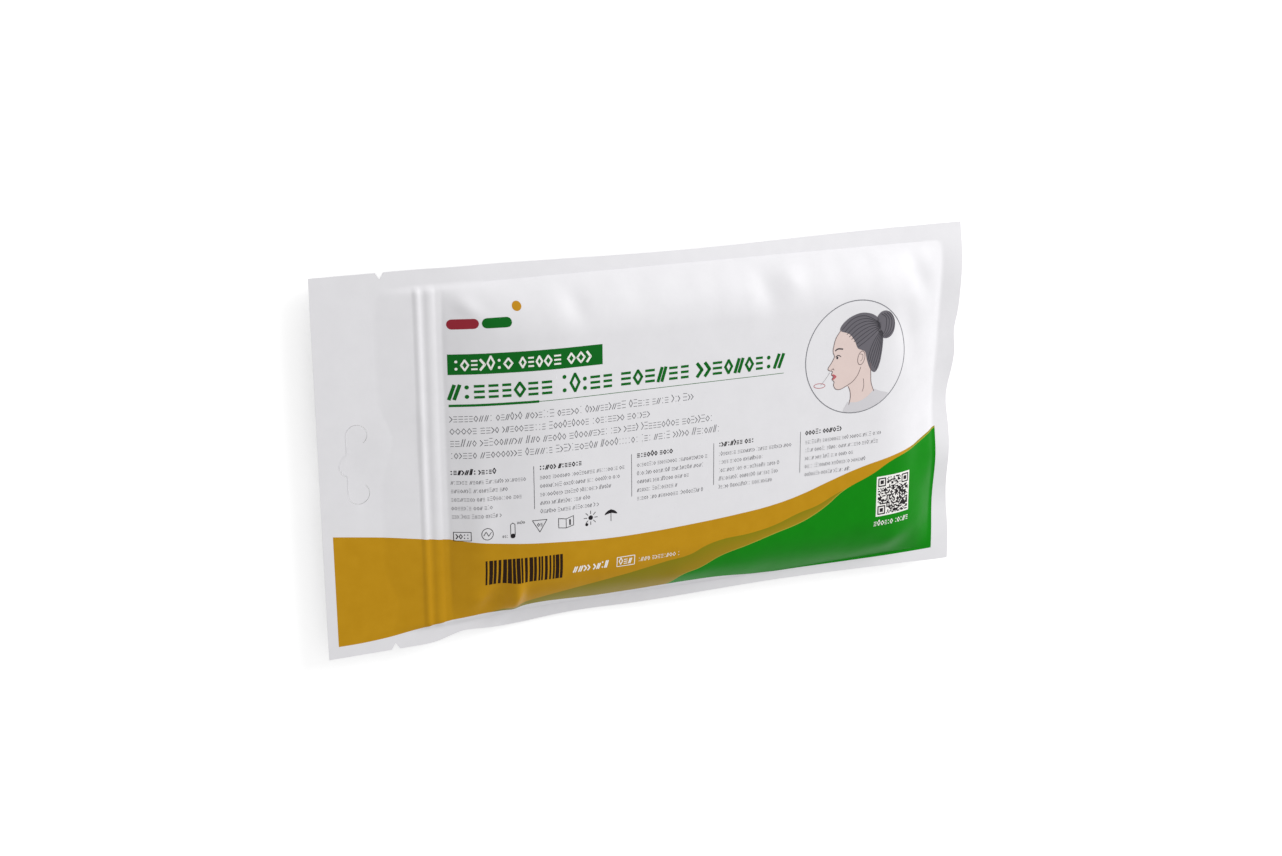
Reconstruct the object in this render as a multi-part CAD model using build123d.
"""A sealed kit pouch of printed white laminate, lying on its back with the printed front up.

Two film sheets are sealed to each other all round and hold a folded kit, so the pouch is one solid: a flat hang
header with a die-cut slot flap and tear notches, a press-to-close zipper, and a filled compartment with its
puckers and its swaying seals. Millimetres, +Z up. X runs along the length with the header at -X, and +Y is the
top edge of the print. The origin is on the resting surface, under the middle of the pouch. A place on the pouch
is given as s, the distance from the header's end, and t, the distance from the top edge.
"""
import os
from math import cos, exp, pi, radians, sin

from build123d import *

# Film and outline
film = 0.15
pouch_length = 260.0
pouch_width = 140.0

# Where the filled pouch pulls its edges in: share of the edge's run, reach as a share of it, and distance
top_pulls = ((0.47, 0.30, 1.75),)
end_pulls = ((0.31, 0.045, 1.3), (0.505, 0.075, 2.1), (0.71, 0.14, 2.0))
bottom_pulls = ((0.07, 0.06, 2.9), (0.27, 0.09, 1.2), (0.62, 0.26, 2.6))
corner_share = 0.08

# Filled compartment: where its seals end and how far the film bulges
compartment_start = 46.3
end_seal = 9.5
side_seal = 6.5
front_bulge = 10.0
back_bulge = 8.0
resting_depth = 7.0
start_flank = 46.0
end_flank = 32.0
side_flank = 21.0
steepness = 0.85

# Unsealed band between the scalloped header seal and the zipper
header_seal = 25.6
scallop_depth = 2.6
scallop_pitch = 37.0
band_rise = 5.0
band_end = 34.3
band_puff = 0.6

# Zipper ridges: distance from the header's end, width and height over the film
zipper_ridges = ((37.6, 2.8, 1.0), (42.5, 3.8, 0.85))
zipper_end_gap = 4.5
zipper_end_run = 3.0

# Tear notches
notch_from_end = 24.8
notch_width = 3.0
notch_depth = 2.4

# Euro hang slot, cut along its outer side and hinged along its inner side
slot_centre = 68.0
slot_length = 29.2
slot_width = 7.8
slot_from_end = 10.0
bump_length = 8.2
bump_depth = 2.8
hook_turn = 50.0
cut_width = 0.25

# Puckers and dents of the filled front: share of the compartment's length and width, half-length, half-width,
# direction from +X in degrees, and height, below zero for a dent
marks = (
    (0.030, 0.045, 9.0, 3.0, -38.0, 1.3),
    (0.128, 0.930, 9.0, 3.4, 85.0, 1.9),
    (0.085, 0.900, 10.0, 4.5, 75.0, -1.5),
    (0.045, 0.930, 8.0, 3.5, 30.0, 0.9),
    (0.235, 0.075, 7.0, 4.5, -65.0, -0.9),
    (0.610, 0.085, 9.0, 5.0, -70.0, -1.1),
    (0.660, 0.060, 6.0, 4.0, -60.0, 0.6),
    (0.945, 0.110, 9.0, 4.5, -65.0, -1.2),
    (0.915, 0.260, 12.0, 5.0, -80.0, -1.0),
    (0.955, 0.640, 14.0, 6.0, 85.0, -0.9),
    (0.900, 0.930, 10.0, 4.5, 20.0, 0.9),
    (0.450, 0.945, 16.0, 4.0, 4.0, 0.6),
)
mark_fade = 3.0

# How the seals droop and sway out of their plane: share of the pouch's length and width, reach along, reach
# across, and height, below zero for a droop. A centre beyond the edge makes the seal slope all the way out
sways = (
    (0.355, 1.04, 55.0, 14.0, -6.2),
    (0.800, 1.04, 40.0, 11.0, -0.6),
    (0.620, -0.04, 120.0, 11.0, -3.4),
    (1.000, 0.13, 20.0, 15.0, 1.7),
    (1.000, 0.50, 22.0, 17.0, -2.4),
    (1.000, 0.67, 16.0, 9.0, 1.2),
    (1.000, 0.82, 16.0, 10.0, -1.1),
)
sway_run = 26.0

# Spacing of the cross-sections and of the points along them, growing away from the seals
fine_pitch = 2.0
pitch_growth = 1.3
coarse_pitch = 11.0
seal_pitch = 4.0
end_margin = 3.0

# Worked out from the sizes above
seam_z = resting_depth + film
compartment_end = pouch_length - end_seal
compartment_length = compartment_end - compartment_start
compartment_width = pouch_width - 2 * side_seal


def at(s, t, z=0.0):
    """The point at distance s from the header's end and t from the top edge."""
    return (s - pouch_length / 2, pouch_width / 2 - t, z)


def step(share):
    """Rise smoothly from 0 to 1 while share goes from 0 to 1."""
    share = min(max(share, 0.0), 1.0)
    return share * share * (3 - 2 * share)


def flank(inset, run):
    """How full the pouch is: 0 at a seal, where the film turns up from a crease, and 1 at run further in."""
    share = min(max(inset / run, 0.0), 1.0)
    return sin(0.5 * pi * share**steepness)


def fullness(s, t):
    """Share of the full bulge at a place, 0 on the seals and the header."""
    along = flank(s - compartment_start, start_flank) * flank(compartment_end - s, end_flank)
    across = flank(t - side_seal, side_flank) * flank(pouch_width - side_seal - t, side_flank)
    return along * across


def mark_height(s, t):
    """Height of the puckers and dents at a place, faded out towards the seals."""
    total = 0.0
    for share_s, share_t, half_length, half_width, direction, height in marks:
        away_x = s - compartment_start - share_s * compartment_length
        away_y = side_seal + share_t * compartment_width - t
        turn = radians(direction)
        along = (away_x * cos(turn) + away_y * sin(turn)) / half_length
        beside = (away_y * cos(turn) - away_x * sin(turn)) / half_width
        total += height * exp(-along * along - beside * beside)
    return total * step(mark_fade * fullness(s, t))


def sway(s, t):
    """How far the seals swing out of their plane at a place."""
    total = 0.0
    for share_s, share_t, reach_s, reach_t, height in sways:
        along = (s - share_s * pouch_length) / reach_s
        across = (t - share_t * pouch_width) / reach_t
        total += height * exp(-along * along - across * across)
    return total * step((s - compartment_start) / sway_run)


def zipper_height(s, t):
    """How far each sheet stands off in the unsealed band and over the zipper's ridges."""
    to_side = min(t, pouch_width - t)
    seal_edge = header_seal + scallop_depth * sin(2 * pi * t / scallop_pitch)
    height = band_puff * step((s - seal_edge) / band_rise) * step((band_end - s) / band_rise)
    for centre, width, rise in zipper_ridges:
        height += rise * max(0.0, 1 - (2 * (s - centre) / width) ** 2)
    return height * step((to_side - zipper_end_gap) / zipper_end_run)


def front_z(s, t):
    """Height of the front sheet's outer face."""
    lift = front_bulge * fullness(s, t) + mark_height(s, t)
    return seam_z + sway(s, t) + film + zipper_height(s, t) + lift


def back_z(s, t):
    """Height of the back sheet's outer face."""
    return seam_z + sway(s, t) - film - zipper_height(s, t) - back_bulge * fullness(s, t)


def spread(start, end, pitch):
    """Even steps from start to end, about a pitch long."""
    count = max(1, round((end - start) / pitch))
    return [start + (end - start) * i / count for i in range(count + 1)]


def graded(start, end):
    """Steps from start to end, fine at both ends and growing towards the middle."""
    insets, pitch = [0.0], fine_pitch
    while insets[-1] < (end - start) / 2:
        insets.append(insets[-1] + pitch)
        pitch = min(pitch * pitch_growth, coarse_pitch)
    fit = (end - start) / 2 / insets[-1]
    return [start + inset * fit for inset in insets] + [end - inset * fit for inset in insets[-2::-1]]


def stations():
    """Where the cross-sections stand along the pouch."""
    places = [0.0, header_seal - scallop_depth]
    places += spread(header_seal, band_end, band_rise / 2)
    for centre, width, rise in zipper_ridges:
        places += [centre + share * width / 2 for share in (-1.0, -0.6, 0.0, 0.6, 1.0)]
    places += graded(compartment_start, compartment_end)
    return places + spread(compartment_end, pouch_length + end_margin, seal_pitch)[1:]


def pulled(share, pulls):
    """How far an edge is pulled in at a share of its run, fading to nothing at the corners."""
    total = sum(draw * exp(-(((share - centre) / reach) ** 2)) for centre, reach, draw in pulls)
    return total * step(min(share, 1 - share) / corner_share)


def cross_section(s):
    """The closed outline of both sheets, cut across the pouch at s: flat seals, creased where the film leaves."""
    share = (s - band_end) / (pouch_length - band_end)
    rows = graded(side_seal, pouch_width - side_seal)
    top_edge = pulled(share, top_pulls)
    bottom_edge = pouch_width - pulled(share, bottom_pulls)
    edges = []
    for sheet_z in (front_z, back_z):
        points = [at(s, t, sheet_z(s, t)) for t in rows]
        edges.append(Edge.make_line(at(s, top_edge, sheet_z(s, top_edge)), points[0]))
        edges.append(Edge.make_spline(points, parameters=rows))
        edges.append(Edge.make_line(points[-1], at(s, bottom_edge, sheet_z(s, bottom_edge))))
    top_side = Edge.make_line(edges[0] @ 0, edges[3] @ 0)
    bottom_side = Edge.make_line(edges[2] @ 1, edges[5] @ 1)
    return Wire([*edges[:3], bottom_side, *edges[:2:-1], top_side])


def end_offcut():
    """What is cut off beyond the far end, whose edge is pulled in between its corners."""
    shares = spread(-corner_share, 1 + corner_share, corner_share / 2)
    edge = [at(pouch_length - pulled(share, end_pulls), share * pouch_width) for share in shares]
    beyond = pouch_length + 2 * end_margin
    first_corner, last_corner = at(beyond, shares[0] * pouch_width), at(beyond, shares[-1] * pouch_width)
    border = Polyline(edge[-1], last_corner, first_corner, edge[0])
    return Face(Wire([*Spline(*edge).edges(), *border.edges()]))


def notch(edge_t, tip_t):
    """The wedge that a tear notch takes out of an edge."""
    outside = 2 * edge_t - tip_t
    half = notch_width
    wedge = Polyline(
        at(notch_from_end - half, outside), at(notch_from_end + half, outside), at(notch_from_end, tip_t), close=True
    )
    return Face(Wire(wedge.edges()))


def hang_slot_cut():
    """The thin cut round the hang slot's flap, open along the flap's hinge."""
    radius = slot_width / 2
    upper = at(slot_from_end + radius, slot_centre - slot_length / 2 + radius)
    lower = at(slot_from_end + radius, slot_centre + slot_length / 2 - radius)
    half_bump = bump_length / 2
    bump = (
        at(slot_from_end, slot_centre - half_bump),
        at(slot_from_end - bump_depth, slot_centre),
        at(slot_from_end, slot_centre + half_bump),
    )
    upper_lobe = CenterArc(upper, radius, -hook_turn, 180 + hook_turn)
    lower_lobe = CenterArc(lower, radius, 180, 180 + hook_turn)
    path = [
        upper_lobe,
        Line(upper_lobe @ 1, bump[0]),
        ThreePointArc(*bump),
        Line(bump[2], lower_lobe @ 0),
        lower_lobe,
    ]
    return trace(Wire([edge for line in path for edge in line.edges()]), line_width=cut_width)


def pouch():
    """The whole pouch: lofted through its cross-sections, trimmed, notched, slotted, and flat where it rests."""
    tall = 4 * (front_bulge + back_bulge)
    blank = Solid.make_loft([cross_section(s) for s in stations()], ruled=True)
    cuts = [end_offcut(), notch(0.0, notch_depth), notch(pouch_width, pouch_width - notch_depth), hang_slot_cut()]
    under = Box(2 * pouch_length, 2 * pouch_width, tall, align=(Align.CENTER, Align.CENTER, Align.MAX))
    return (blank - [extrude(cut, tall, both=True) for cut in cuts] - under).solid()


if __name__ == "__main__":
    os.makedirs("parts", exist_ok=True)
    export_step(pouch(), "parts/pouch.step")
